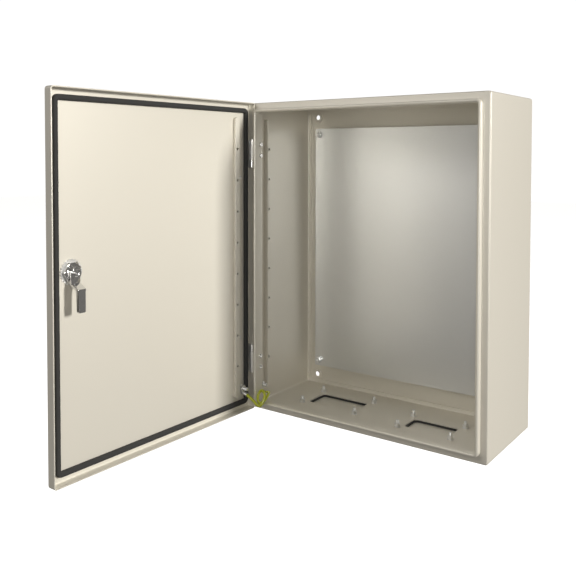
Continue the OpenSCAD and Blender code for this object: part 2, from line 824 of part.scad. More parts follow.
// A bar between two points
module bar(a, b, d) {
    v = b - a;
    translate(a) rotate([0, acos(v.z / norm(v)), atan2(v.y, v.x)]) cylinder(d = d, h = norm(v));
}

// The ring and neck of a cable lug about its stud, along depth
module lug_eye(lean) {
    bar_y(lug_ring, 0, lug_thickness);
    rotate([0, lean, 0]) block([-lug_barrel / 2, 0, -lug_neck], [lug_barrel / 2, lug_thickness, 0]);
}

module door_lug() {
    color([0.78, 0.78, 0.78]) difference() {
        union() {
            on_door() translate([stud_x, door_inner + bond_washer_thickness, door_stud_z])
                lug_eye(door_lug_lean);
            bar(door_lug_start, wire_start, lug_barrel);
        }
        on_door() translate([stud_x, door_inner, door_stud_z])
            bar_y(bond_stud + 2 * clear, -1, lug_thickness + 4);
    }
}

module body_lug() {
    color([0.78, 0.78, 0.78]) difference() {
        union() {
            on_side(body_stud_y, body_stud_z) translate([0, bond_washer_thickness, 0])
                lug_eye(-body_lug_lean);
            bar(body_lug_start, wire_end, lug_barrel);
        }
        on_side(body_stud_y, body_stud_z) bar_y(bond_stud + 2 * clear, -1, lug_thickness + 4);
    }
}

// The wire's middle line at u, a smooth curve through the chosen points
function wire_at(u) = let(
    i = min(floor(u), len(wire_points) - 2), t = u - i,
    p = [for (k = [-1 : 2]) wire_points[max(0, min(len(wire_points) - 1, i + k))]])
    ((2 * p[1]) + (p[2] - p[0]) * t + (2 * p[0] - 5 * p[1] + 4 * p[2] - p[3]) * t * t
        + (3 * p[1] - p[0] - 3 * p[2] + p[3]) * t * t * t) / 2;

function unit(v) = v / norm(v);

module bonding_wire() {
    steps = (len(wire_points) - 1) * wire_rings;
    line = [for (n = [0 : steps]) wire_at(n / wire_rings)];
    ring = [for (n = [0 : steps]) let(
        along = unit(n == 0 ? wire_start - door_lug_start : n == steps ? body_lug_start - wire_end
            : line[n + 1] - line[n - 1]),
        side = unit(cross(along, [0.2, 0.9, 0.4])), up = cross(side, along))
        for (k = [0 : wire_sides - 1]) let(a = 360 * k / wire_sides)
            line[n] + wire_diameter / 2 * (side * cos(a) + up * sin(a))];
    faces = concat(
        [[for (k = [0 : wire_sides - 1]) k]],
        [[for (k = [wire_sides - 1 : -1 : 0]) steps * wire_sides + k]],
        [for (n = [0 : steps - 1], k = [0 : wire_sides - 1]) let(m = (k + 1) % wire_sides)
            [n * wire_sides + k, (n + 1) * wire_sides + k, (n + 1) * wire_sides + m,
                n * wire_sides + m]]);
    color([0.55, 0.62, 0.10]) polyhedron(points = ring, faces = faces, convexity = 8);
}

front_frame();
wall_left();
wall_right();
wall_top();
floor_wall();
rear_frame();
back_panel();
side_rail_left();
side_rail_right();
plate_studs();
plate_collars();
mounting_plate();
plate_washers();
plate_nuts();
gland_plate_left();
gland_plate_right();
gland_gasket_left();
gland_gasket_right();
gland_washers();
gland_nuts();
hinge_frame_leaves();
hinge_pins();
hinge_screws();
body_bond_stud();
body_bond_washer();
body_bond_nut();
body_lug();
bonding_wire();
door_skin();
door_gasket();
door_stiffener();
stiffener_screws();
hinge_door_leaves();
lock_housing();
lock_washer();
lock_nut();
door_bond_stud();
door_bond_washer();
door_bond_nut();
door_lug();
lock_rotor();
cam();
cam_bolt();
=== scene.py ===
"""Looks of a wall-mounted sheet steel combiner box that stands with its door open.

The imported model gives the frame, and the classes below build what is seen around it: the folded
cabinet with its rolled rain rim, the galvanised mounting plate and its fixings, the gland plates in
the floor, the door with its foamed gasket, the hinges, the quarter-turn lock and the bonding wire.
Sizes are in millimetres in the classes and in metres in the meshes.
"""
import logging
import math
from collections.abc import Callable
from dataclasses import dataclass
from enum import Enum

import bmesh
import bpy
import numpy as np
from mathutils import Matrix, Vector


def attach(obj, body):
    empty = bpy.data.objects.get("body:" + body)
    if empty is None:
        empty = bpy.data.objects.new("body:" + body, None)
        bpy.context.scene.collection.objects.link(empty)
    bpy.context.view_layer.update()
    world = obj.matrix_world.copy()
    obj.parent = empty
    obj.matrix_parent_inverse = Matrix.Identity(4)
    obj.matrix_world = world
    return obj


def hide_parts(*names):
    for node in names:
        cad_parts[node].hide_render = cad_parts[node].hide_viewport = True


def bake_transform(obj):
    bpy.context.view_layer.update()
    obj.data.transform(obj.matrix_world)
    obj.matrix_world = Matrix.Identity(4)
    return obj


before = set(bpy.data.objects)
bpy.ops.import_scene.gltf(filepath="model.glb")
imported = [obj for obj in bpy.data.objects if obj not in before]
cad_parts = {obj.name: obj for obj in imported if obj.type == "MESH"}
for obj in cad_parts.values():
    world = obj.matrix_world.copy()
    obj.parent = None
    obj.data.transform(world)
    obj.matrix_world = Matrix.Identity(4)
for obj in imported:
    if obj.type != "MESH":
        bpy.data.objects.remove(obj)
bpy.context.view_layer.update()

MM = 0.001
MERGE_DISTANCE = 1e-6
SHARP_ANGLE = 32.0
LOG = logging.getLogger("combiner_box")


# ------------------------------------------------------------------ surfaces

@dataclass
class Surface:
    """A mesh in the making: points in millimetres and polygons as rows of point numbers."""

    points: np.ndarray
    faces: list[list[int]]
    uv: np.ndarray | None = None

    def plus(self, *others: "Surface") -> "Surface":
        """Joins other surfaces to this one, without merging their points.

        Args:
            others: the surfaces to add.

        Returns:
            One surface that holds them all.
        """
        points, faces = [self.points], list(self.faces)
        count = len(self.points)
        for other in others:
            points.append(other.points)
            faces += [[i + count for i in face] for face in other.faces]
            count += len(other.points)
        return Surface(np.concatenate(points), faces)

    def moved(self, change: Callable[[np.ndarray], np.ndarray]) -> "Surface":
        """Returns the same surface with its points carried through a function of all of them."""
        return Surface(change(self.points), self.faces, self.uv)


def grid(points: np.ndarray, wrap_rows: bool = False, wrap_columns: bool = False,
         caps: bool = False) -> Surface:
    """Joins a grid of points into quads, point (i, j) to (i + 1, j + 1).

    Args:
        points: an array of rows by columns by 3.
        wrap_rows: whether the last row joins the first.
        wrap_columns: whether the last column joins the first.
        caps: whether the first and the last row are each closed by one polygon.

    Returns:
        The surface of the grid.
    """
    rows, columns = points.shape[:2]
    i, j = np.meshgrid(np.arange(rows if wrap_rows else rows - 1),
                       np.arange(columns if wrap_columns else columns - 1), indexing="ij")
    i2, j2 = (i + 1) % rows, (j + 1) % columns
    quads = np.stack([i * columns + j, i2 * columns + j, i2 * columns + j2, i * columns + j2], -1)
    faces = quads.reshape(-1, 4).tolist()
    if caps:
        ring = np.arange(columns)
        faces += [ring[::-1].tolist(), (ring + (rows - 1) * columns).tolist()]
    return Surface(points.reshape(-1, 3), faces)


def arc(x: float, y: float, radius: float, start: float, end: float, count: int) -> np.ndarray:
    """Points on a circle's arc: centre + radius * (cos a, sin a), a running from start to end.

    Args:
        x: the centre's first coordinate.
        y: the centre's second coordinate.
        radius: the circle's radius.
        start: the first angle, in degrees.
        end: the last angle, in degrees.
        count: the number of points.

    Returns:
        An array of count by 2.
    """
    a = np.radians(np.linspace(start, end, count))
    return np.stack([x + radius * np.cos(a), y + radius * np.sin(a)], -1)


@dataclass(frozen=True)
class Frame:
    """An upright rectangle with rounded corners, by its four sides and its corner radius."""

    left: float
    right: float
    bottom: float
    top: float
    radius: float
    corner_steps: int = 8
    side_shares: tuple[float, ...] = (0.0, 0.003, 0.5, 0.997, 1.0)

    def ring(self, inset: float) -> np.ndarray:
        """Points once round the rectangle moved in by inset, from the right side upwards.

        Each corner is a quarter circle of radius less the inset, and each side is the straight
        line between two corners, cut at the same shares of its length at every inset.

        Args:
            inset: how far the ring lies inside the rectangle.

        Returns:
            An array of points by (x, z).
        """
        radius = max(self.radius - inset, 0.2)
        x = np.array([self.right - inset - radius, self.left + inset + radius])
        z = np.array([self.top - inset - radius, self.bottom + inset + radius])
        corners = [arc(x[0], z[0], radius, 0, 90, self.corner_steps),
                   arc(x[1], z[0], radius, 90, 180, self.corner_steps),
                   arc(x[1], z[1], radius, 180, 270, self.corner_steps),
                   arc(x[0], z[1], radius, 270, 360, self.corner_steps)]
        shares = np.array(self.side_shares)[1:-1, None]
        parts = []
        for number, corner in enumerate(corners):
            following = corners[(number + 1) % 4]
            parts += [corner, corner[-1] + shares * (following[0] - corner[-1])]
        return np.concatenate(parts)


def carried(frame_shape: Frame, profile: np.ndarray) -> np.ndarray:
    """Carries a profile round a rectangle: each (inset, depth) gives a ring at that inset and depth.

    Args:
        frame_shape: the rectangle.
        profile: rows of inset and depth.

    Returns:
        An array of profile rows by ring points by 3.
    """
    rings = [frame_shape.ring(inset) for inset, _ in profile]
    return np.stack([np.stack([ring[:, 0], np.full(len(ring), depth), ring[:, 1]], -1)
                     for ring, (_, depth) in zip(rings, profile)])


def threaded(radius: float, start: float, end: float, pitch: float) -> Surface:
    """A threaded rod along depth, as the height field of a helix over (depth y, angle a).

    The radius is R - h * |2 * frac(y / pitch - a / 2 pi) - 1|, with h about 0.54 pitch, and it
    falls off at both ends in a short chamfer.

    Args:
        radius: the thread's outer radius.
        start: the depth at one end.
        end: the depth at the other end.
        pitch: the rise of one turn.

    Returns:
        The rod's closed surface.
    """
    steps = 32
    length = abs(end - start)
    rows = max(int(length / pitch * 6), 4)
    y = np.linspace(0, length, rows)[:, None]
    a = np.linspace(0, 2 * math.pi, steps, endpoint=False)[None, :]
    phase = np.mod(y / pitch - a / (2 * math.pi), 1.0)
    r = radius - 0.54 * pitch * np.abs(2 * phase - 1)
    chamfer = radius - 0.7 * pitch + np.minimum(y, length - y) * 1.2
    r = np.minimum(r, chamfer)
    depth = start + (end - start) * y / length
    points = np.stack([r * np.cos(a), depth + 0 * a, r * np.sin(a)], -1)
    return grid(points, wrap_columns=True, caps=True)


def hex_nut(flats: float, bore: float, start: float, height: float) -> Surface:
    """A six-sided nut along depth whose corners are cut by a cone at its free end.

    Round the outside the radius is (flats / 2) / cos(a mod 60 - 30), and near the ends it is no
    more than flats / 2 plus the distance from the end times the cone's slope.

    Args:
        flats: the size across flats.
        bore: the diameter of the hole.
        start: the depth that the nut stands on.
        height: its height, negative towards the door side.

    Returns:
        The nut's closed surface.
    """
    steps = 72
    a = np.radians(np.arange(steps) * 360 / steps)[None, :]
    hexagon = flats / 2 / np.cos(np.mod(a, math.pi / 3) - math.pi / 6)
    share = np.array([0, 0, 0.02, 0.08, 0.3, 0.7, 0.9, 0.96, 1.0, 1.0, 0.93, 0.07])[:, None]
    outside = np.array([0, 1, 1, 1, 1, 1, 1, 1, 1, 0, 0, 0])[:, None]
    thick = abs(height)
    edge = np.minimum(share * 2.0, 1 - share) * thick
    cone = flats / 2 - 0.15 + edge * 1.9
    mouth = bore / 2 + np.where((share < 0.01) | (share > 0.99), 0.35, 0.0)
    r = np.where(outside == 1, np.minimum(hexagon, cone), mouth + 0 * a)
    points = np.stack([r * np.cos(a), start + height * share + 0 * a, r * np.sin(a)], -1)
    return grid(points, wrap_rows=True, wrap_columns=True)


def washer(outer: float, bore: float, start: float, end: float, ease: float = 0.25) -> Surface:
    """A flat washer along depth with eased outer edges.

    Args:
        outer: its outer diameter.
        bore: the diameter of its hole.
        start: the depth of one face.
        end: the depth of the other face.
        ease: the size of the eased edge.

    Returns:
        The washer's closed surface.
    """
    low, high = min(start, end), max(start, end)
    r, b = outer / 2, bore / 2
    profile = np.array([[b, low], [r - ease, low], [r, low + ease], [r, high - ease],
                        [r - ease, high], [b, high]])
    a = np.linspace(0, 2 * math.pi, 48, endpoint=False)
    points = np.stack([profile[:, :1] * np.cos(a), profile[:, 1:] + 0 * a,
                       profile[:, :1] * np.sin(a)], -1)
    return grid(points, wrap_rows=True, wrap_columns=True)


def shifted(surface: Surface, x: float, z: float) -> Surface:
    """Returns the surface moved across and up, to stand about a fixing's own axis."""
    return surface.moved(lambda points: points + np.array([x, 0.0, z]))


# ------------------------------------------------------------------ finishes

class Nodes:
    """A thin layer over a material's node tree, to keep the finishes short."""

    def __init__(self, name: str) -> None:
        """Makes a material of that name with one principled shader.

        Args:
            name: the material's name.
        """
        self.material = bpy.data.materials.new(name)
        self.material.use_nodes = True
        self.tree = self.material.node_tree
        self.shader = self.tree.nodes["Principled BSDF"]
        self.place = self.add("ShaderNodeTexCoord").outputs["Object"]

    def add(self, kind: str, **settings: object) -> bpy.types.Node:
        """Adds a node of that kind and sets its properties.

        Args:
            kind: the node's type name.
            settings: the properties to set.

        Returns:
            The new node.
        """
        node = self.tree.nodes.new(kind)
        for name, value in settings.items():
            setattr(node, name, value)
        return node

    def join(self, output: bpy.types.NodeSocket, target: bpy.types.NodeSocket) -> None:
        """Links an output to an input."""
        self.tree.links.new(output, target)

    def stretched(self, scale: tuple[float, float, float]) -> bpy.types.NodeSocket:
        """Returns the object's coordinates scaled by a Mapping node."""
        mapping = self.add("ShaderNodeMapping")
        mapping.inputs["Scale"].default_value = scale
        self.join(self.place, mapping.inputs["Vector"])
        return mapping.outputs["Vector"]

    def noise(self, scale: float, detail: float = 3.0, roughness: float = 0.5,
              stretch: tuple[float, float, float] = (1, 1, 1)) -> bpy.types.NodeSocket:
        """Adds fractal noise.

        Args:
            scale: its scale, in waves a metre.
            detail: the number of octaves.
            roughness: how strong the fine octaves are.
            stretch: scale along each axis before the noise.

        Returns:
            The noise's value, about 0.5 on average.
        """
        node = self.add("ShaderNodeTexNoise")
        node.inputs["Scale"].default_value = scale
        node.inputs["Detail"].default_value = detail
        node.inputs["Roughness"].default_value = roughness
        self.join(self.stretched(stretch), node.inputs["Vector"])
        return node.outputs["Fac"]

    def ramp(self, value: bpy.types.NodeSocket, low: float, high: float,
             first: tuple[float, ...], last: tuple[float, ...]) -> bpy.types.NodeSocket:
        """Turns a value between low and high into a colour between first and last."""
        node = self.add("ShaderNodeValToRGB")
        node.color_ramp.elements[0].position = low
        node.color_ramp.elements[1].position = high
        node.color_ramp.elements[0].color = (*first, 1.0)
        node.color_ramp.elements[1].color = (*last, 1.0)
        self.join(value, node.inputs["Fac"])
        return node.outputs["Color"]

    def spread(self, value: bpy.types.NodeSocket, low: float, high: float) -> bpy.types.NodeSocket:
        """Maps a noise value of 0.25 to 0.75 to the range from low to high."""
        node = self.add("ShaderNodeMapRange")
        node.inputs["From Min"].default_value = 0.25
        node.inputs["From Max"].default_value = 0.75
        node.inputs["To Min"].default_value = low
        node.inputs["To Max"].default_value = high
        self.join(value, node.inputs["Value"])
        return node.outputs["Result"]

    def bump(self, height: bpy.types.NodeSocket, depth: float, strength: float,
             under: bpy.types.NodeSocket | None = None) -> bpy.types.NodeSocket:
        """Adds a bump of that depth, in metres, over another one if given."""
        node = self.add("ShaderNodeBump")
        node.inputs["Distance"].default_value = depth
        node.inputs["Strength"].default_value = strength
        self.join(height, node.inputs["Height"])
        if under is not None:
            self.join(under, node.inputs["Normal"])
        return node.outputs["Normal"]

    def set(self, **values: object) -> None:
        """Sets constant values on the shader's own sockets, with _ for a space in a name."""
        for name, value in values.items():
            self.shader.inputs[name.replace("_", " ")].default_value = value


@dataclass(frozen=True)
class PowderCoat:
    """Fine textured powder coat: a warm beige with a fine orange-peel bump."""

    name: str = "powder_coat"
    light: tuple[float, float, float] = (0.745, 0.700, 0.600)
    shade: tuple[float, float, float] = (0.715, 0.670, 0.572)
    roughness: float = 0.46

    def build(self) -> bpy.types.Material:
        """Returns the finish as a material."""
        n = Nodes(self.name)
        cloudy = n.noise(7, 3)
        n.join(n.ramp(cloudy, 0.35, 0.65, self.shade, self.light), n.shader.inputs["Base Color"])
        n.join(n.spread(n.noise(60, 2), self.roughness - 0.05, self.roughness + 0.05),
               n.shader.inputs["Roughness"])
        flow = n.bump(n.noise(9, 2), 0.0008, 0.10)
        peel = n.bump(n.noise(900, 2, 0.4), 0.00012, 0.35, flow)
        n.join(peel, n.shader.inputs["Normal"])
        n.set(Specular_IOR_Level=0.45, Coat_Weight=0.08, Coat_Roughness=0.35)
        return n.material


@dataclass(frozen=True)
class GalvanisedSheet:
    """Galvanised sheet: a soft metal sheen with fine upright rolling lines and faint spangle."""

    name: str = "galvanised_sheet"
    light: tuple[float, float, float] = (0.95, 0.94, 0.915)
    shade: tuple[float, float, float] = (0.78, 0.77, 0.75)
    roughness: float = 0.15

    def build(self) -> bpy.types.Material:
        """Returns the finish as a material."""
        n = Nodes(self.name)
        lines = n.noise(1.0, 5, 0.7, (520, 520, 9))
        n.join(n.ramp(lines, 0.3, 0.7, self.shade, self.light), n.shader.inputs["Base Color"])
        n.join(n.spread(n.noise(1.0, 3, 0.6, (260, 260, 5)), self.roughness - 0.04,
                        self.roughness + 0.04), n.shader.inputs["Roughness"])
        wave = n.bump(n.noise(6, 2), 0.0015, 0.12)
        brushed = n.bump(lines, 0.00006, 0.5, wave)
        n.join(brushed, n.shader.inputs["Normal"])
        n.set(Metallic=1.0)
        return n.material


@dataclass(frozen=True)
class BareMetal:
    """A plated or polished metal, with faint colour clouds and fine scratches."""

    name: str
    light: tuple[float, float, float]
    shade: tuple[float, float, float]
    roughness: float
    scratch: float = 0.25

    def build(self) -> bpy.types.Material:
        """Returns the finish as a material."""
        n = Nodes(self.name)
        n.join(n.ramp(n.noise(90, 3), 0.35, 0.65, self.shade, self.light),
               n.shader.inputs["Base Color"])
        n.join(n.spread(n.noise(240, 4, 0.6), self.roughness * 0.7, self.roughness * 1.3),
               n.shader.inputs["Roughness"])
        n.join(n.bump(n.noise(1300, 3, 0.6, (1, 1, 0.35)), 0.00005, self.scratch),
               n.shader.inputs["Normal"])
        n.set(Metallic=1.0)
        return n.material


@dataclass(frozen=True)
class FoamGasket:
    """Foamed polyurethane: matt black skin over small cells."""

    name: str = "foam_gasket"

    def build(self) -> bpy.types.Material:
        """Returns the finish as a material."""
        n = Nodes(self.name)
        n.join(n.ramp(n.noise(160, 3), 0.3, 0.7, (0.003, 0.003, 0.003), (0.007, 0.0065, 0.006)),
               n.shader.inputs["Base Color"])
        n.join(n.spread(n.noise(300, 2), 0.38, 0.55), n.shader.inputs["Roughness"])
        cells = n.add("ShaderNodeTexVoronoi")
        cells.inputs["Scale"].default_value = 1100
        n.join(n.place, cells.inputs["Vector"])
        skin = n.bump(n.noise(240, 3), 0.0004, 0.4)
        n.join(n.bump(cells.outputs["Distance"], 0.0002, 0.5, skin), n.shader.inputs["Normal"])
        n.set(Specular_IOR_Level=0.35)
        return n.material


@dataclass(frozen=True)
class WireInsulation:
    """Soft insulation, green with a yellow stripe along it, told apart by the piece's own UV map."""

    name: str = "wire_insulation"
    green: tuple[float, float, float] = (0.045, 0.30, 0.05)
    yellow: tuple[float, float, float] = (0.86, 0.70, 0.03)
    yellow_share: float = 0.50

    def build(self) -> bpy.types.Material:
        """Returns the finish as a material."""
        n = Nodes(self.name)
        uv = n.add("ShaderNodeUVMap", uv_map="UVMap")
        split = n.add("ShaderNodeSeparateXYZ")
        n.join(uv.outputs["UV"], split.inputs["Vector"])
        stripe = n.ramp(split.outputs["X"], self.yellow_share - 0.01, self.yellow_share + 0.01,
                        self.yellow, self.green)
        n.join(stripe, n.shader.inputs["Base Color"])
        n.join(n.bump(n.noise(1500, 2), 0.00004, 0.3), n.shader.inputs["Normal"])
        n.set(Roughness=0.38, Specular_IOR_Level=0.5)
        return n.material


class Finish(Enum):
    """The finishes of the box, each with the material that it builds."""

    PAINT = PowderCoat()
    GALVANISED = GalvanisedSheet()
    ZINC = BareMetal("zinc_plate", (0.50, 0.49, 0.47), (0.26, 0.255, 0.24), 0.16)
    STEEL = BareMetal("bright_steel", (0.80, 0.80, 0.79), (0.70, 0.70, 0.69), 0.16, 0.12)
    LOCK = BareMetal("lock_plating", (0.74, 0.74, 0.73), (0.58, 0.58, 0.57), 0.12, 0.15)
    TIN = BareMetal("tinned_copper", (0.72, 0.71, 0.68), (0.60, 0.58, 0.54), 0.30)
    FOAM = FoamGasket()
    INSULATION = WireInsulation()

    def material(self) -> bpy.types.Material:
        """Returns this finish's material, made the first time it is asked for."""
        return bpy.data.materials.get(self.value.name) or self.value.build()


# ------------------------------------------------------------------ pieces

@dataclass(frozen=True)
class Bend:
    """Where a soft piece leaves its own body and where it joins another; a piece given one is left in
    place, not bent.
    """

    body: str
    start: tuple[float, float, float]
    end: tuple[float, float, float]


@dataclass
class Piece:
    """What turns a surface into a finished object of the scene."""

    name: str
    body: str
    finish: Finish
    nodes: tuple[str, ...] = ()
    sharp_angle: float = SHARP_ANGLE
    bevel: float = 0.0
    bevel_steps: int = 2
    bends: Bend | None = None

    def from_surface(self, surface: Surface) -> bpy.types.Object:
        """Makes the piece from a surface: points merged, faces turned outwards.

        Args:
            surface: the surface, in millimetres.

        Returns:
            The finished object.
        """
        mesh = bpy.data.meshes.new(self.name)
        mesh.from_pydata((surface.points * MM).tolist(), [], surface.faces)
        if surface.uv is not None:
            layer = mesh.uv_layers.new(name="UVMap")
            layer.data.foreach_set("uv", surface.uv.ravel().astype(np.float32))
        work = bmesh.new()
        work.from_mesh(mesh)
        bmesh.ops.remove_doubles(work, verts=work.verts, dist=MERGE_DISTANCE)
        bmesh.ops.recalc_face_normals(work, faces=work.faces)
        work.to_mesh(mesh)
        work.free()
        return self.finished(mesh)

    def from_nodes(self) -> bpy.types.Object:
        """Makes the piece from copies of its CAD nodes, with flat faces joined and edges eased.

        Returns:
            The finished object.
        """
        mesh = bpy.data.meshes.new(self.name)
        work = bmesh.new()
        for node in self.nodes:
            work.from_mesh(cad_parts[node].data)
        bmesh.ops.remove_doubles(work, verts=work.verts, dist=MERGE_DISTANCE)
        bmesh.ops.dissolve_limit(work, angle_limit=math.radians(0.6), verts=work.verts,
                                 edges=work.edges)
        work.to_mesh(mesh)
        work.free()
        return self.finished(mesh)

    def finished(self, mesh: bpy.types.Mesh) -> bpy.types.Object:
        """Shades a mesh, eases its edges, dresses it and lets it ride on its body, or leaves it in
        place when it runs between two bodies.

        Args:
            mesh: the piece's mesh, in the frame's place.

        Returns:
            The finished object.
        """
        piece = bpy.data.objects.new(self.name, mesh)
        bpy.context.scene.collection.objects.link(piece)
        mesh.polygons.foreach_set("use_smooth", np.ones(len(mesh.polygons), bool))
        mesh.set_sharp_from_angle(angle=math.radians(self.sharp_angle))
        if self.bevel > 0:
            edge = piece.modifiers.new("eased_edges", "BEVEL")
            edge.width = self.bevel * MM
            edge.segments = self.bevel_steps
            edge.limit_method = "ANGLE"
            edge.angle_limit = math.radians(self.sharp_angle)
            edge.harden_normals = True
            edge.use_clamp_overlap = False
        mesh.materials.clear()
        mesh.materials.append(self.finish.material())
        if self.bends is None:
            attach(piece, self.body)
        else:
            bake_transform(piece)
        if self.nodes:
            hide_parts(*self.nodes)
        LOG.info("%s: %d faces on %s", self.name, len(mesh.polygons), self.body)
        return piece


@dataclass(frozen=True)
class BoxSizes:
    """The sizes that the cabinet, the door and their fixings share, in millimetres."""

    left: float = -200.0
    right: float = 200.0
    bottom: float = -250.0
    top: float = 250.0
    front: float = -176.0
    sheet: float = 1.5
    corner: float = 4.0
    flange: float = 10.0
    hinge_flange: float = 12.8
    rim_width: float = 5.5
    rim_height: float = 9.0
    rim_corner: float = 8.0
    door_depth: float = 14.0
    door_edge_gap: float = 2.384
    door_side_gap: float = 4.4
    pivot: tuple[float, float] = (-191.2, -181.6)
    door_open: float = 91.5
    gland_openings: tuple[tuple[float, float, float, float], ...] = (
        (-90.0, -76.0, 86.0, 50.0), (82.0, -90.0, 72.0, 40.0))
    gland_corner: float = 6.0

    @property
    def rim(self) -> Frame:
        """The rectangle of the rolled rim's outer face."""
        return Frame(self.left + self.hinge_flange, self.right - self.flange,
                     self.bottom + self.flange, self.top - self.flange, self.rim_corner)

    @property
    def outside(self) -> Frame:
        """The rectangle of the cabinet's outer faces."""
        return Frame(self.left, self.right, self.bottom, self.top, self.corner)

    @property
    def door_outline(self) -> Frame:
        """The rectangle of the closed door's outer faces, set in on the hinge side."""
        return Frame(self.left + self.door_side_gap, self.right, self.bottom, self.top, self.corner)

    @property
    def door_edge(self) -> float:
        """Depth of the edge of the closed door's returns."""
        return self.front - self.door_edge_gap

    @property
    def door_face(self) -> float:
        """Depth of the door's outer face when it is closed."""
        return self.door_edge - self.door_depth

    @property
    def door_inner(self) -> float:
        """Depth of the door panel's inner face when it is closed."""
        return self.door_face + self.sheet

    def swung(self, points: np.ndarray) -> np.ndarray:
        """Swings points of the closed door to where the door stands, about the hinge pins.

        The turn by -a about (px, py) is x' = px + dx cos a + dy sin a, y' = py - dx sin a + dy cos a.

        Args:
            points: an array of points by 3.

        Returns:
            The swung points.
        """
        a = math.radians(self.door_open)
        dx, dy = points[:, 0] - self.pivot[0], points[:, 1] - self.pivot[1]
        return np.stack([self.pivot[0] + dx * math.cos(a) + dy * math.sin(a),
                         self.pivot[1] - dx * math.sin(a) + dy * math.cos(a), points[:, 2]], -1)


BOX = BoxSizes()


@dataclass
class CabinetShell:
    """The folded and welded cabinet: walls, front flange, rolled rim and rear flange in one skin."""

    wall_end: float = -1.5
    rear_flange: float = 8.0
    bend: float = 2.2
    leg_end: float = 1.0
    hinge_leg: float = 9.0
    fillet: float = 0.7
    cut_past: float = 2.0

    def wall_profile(self) -> np.ndarray:
        """Inset and depth along the walls, from the flange's front, over the back, to its rear."""
        s, front, bend = BOX.sheet, BOX.front, self.bend
        inner = bend - s
        return np.concatenate([
            arc(bend, front + bend, bend, 270, 180, 6),
            arc(bend, self.wall_end - bend, bend, 180, 90, 6),
            [[self.rear_flange, self.wall_end], [self.rear_flange, self.wall_end - s]],
            arc(bend, self.wall_end - bend, inner, 90, 180, 4),
            arc(bend, front + bend, inner, 180, 270, 4)])

    def rim_profile(self) -> np.ndarray:
        """Inset and depth along the rim, from the flange's rear, round the nose, to its front."""
        s, front = BOX.sheet, BOX.front
        nose = BOX.rim_width / 2
        centre = front - BOX.rim_height + nose
        end = front + self.leg_end
        return np.concatenate([
            [[s, front + s]],
            arc(nose, centre, nose - s, 180, 360, 7),
            [[BOX.rim_width - s, end], [BOX.rim_width, end]],
            arc(nose, centre, nose, 360, 180, 13),
            arc(-self.fillet, front - self.fillet, self.fillet, 0, 90, 4)])

    def surface(self) -> Surface:
        """Builds the skin: rings of the walls, then rings of the rim, joined into a closed loop.

        Returns:
            The shell's closed surface, before its floor is opened.
        """
        walls = carried(BOX.outside, self.wall_profile())
        rim_profile = self.rim_profile()
        rim = carried(BOX.rim, rim_profile)
        at_leg_end = np.isclose(rim_profile[:, 1], BOX.front + self.leg_end)
        on_hinge_side = ((rim[..., 0] < BOX.rim.left + BOX.rim_width + 0.1)
                         & (np.abs(rim[..., 2]) < BOX.rim.top - BOX.rim_corner - 1.0))
        rim[..., 1] += np.where(at_leg_end[:, None] & on_hinge_side, self.hinge_leg, 0.0)
        return grid(np.concatenate([walls, rim]), wrap_rows=True, wrap_columns=True)

    def floor_cutter(self) -> bpy.types.Object:
        """Makes the blocks that open the floor over the gland plates, with rounded corners."""
        blocks = []
        for x, y, width, depth in BOX.gland_openings:
            shape = Frame(x - width / 2, x + width / 2, y - depth / 2, y + depth / 2,
                          BOX.gland_corner)
            ring = shape.ring(0.0)
            levels = np.array([BOX.bottom - self.cut_past,
                               BOX.bottom + BOX.sheet + self.cut_past])
            points = np.stack([np.stack([ring[:, 0], ring[:, 1], np.full(len(ring), z)], -1)
                               for z in levels])
            blocks.append(grid(points, wrap_columns=True, caps=True))
        joined = blocks[0].plus(*blocks[1:])
        mesh = bpy.data.meshes.new("floor_cutter")
        mesh.from_pydata((joined.points * MM).tolist(), [], joined.faces)
        work = bmesh.new()
        work.from_mesh(mesh)
        bmesh.ops.recalc_face_normals(work, faces=work.faces)
        work.to_mesh(mesh)
        work.free()
        cutter = bpy.data.objects.new("floor_cutter", mesh)
        bpy.context.scene.collection.objects.link(cutter)
        return cutter

    def build(self) -> None:
        """Makes the shell and opens its floor."""
        shell = Piece("cabinet_shell", "cabinet", Finish.PAINT,
                      ("front_frame", "wall_left", "wall_right", "wall_top", "floor_wall",
                       "rear_frame")).from_surface(self.surface())
        cutter = self.floor_cutter()
        cut = shell.modifiers.new("floor", "BOOLEAN")
        cut.operation, cut.solver, cut.object = "DIFFERENCE", "EXACT", cutter
        bpy.context.view_layer.update()
        whole = shell.evaluated_get(bpy.context.evaluated_depsgraph_get())
        mesh = bpy.data.meshes.new_from_object(whole)
        shell.modifiers.remove(cut)
        shell.data = mesh
        bpy.data.objects.remove(cutter)
        mesh.set_sharp_from_angle(angle=math.radians(SHARP_ANGLE))


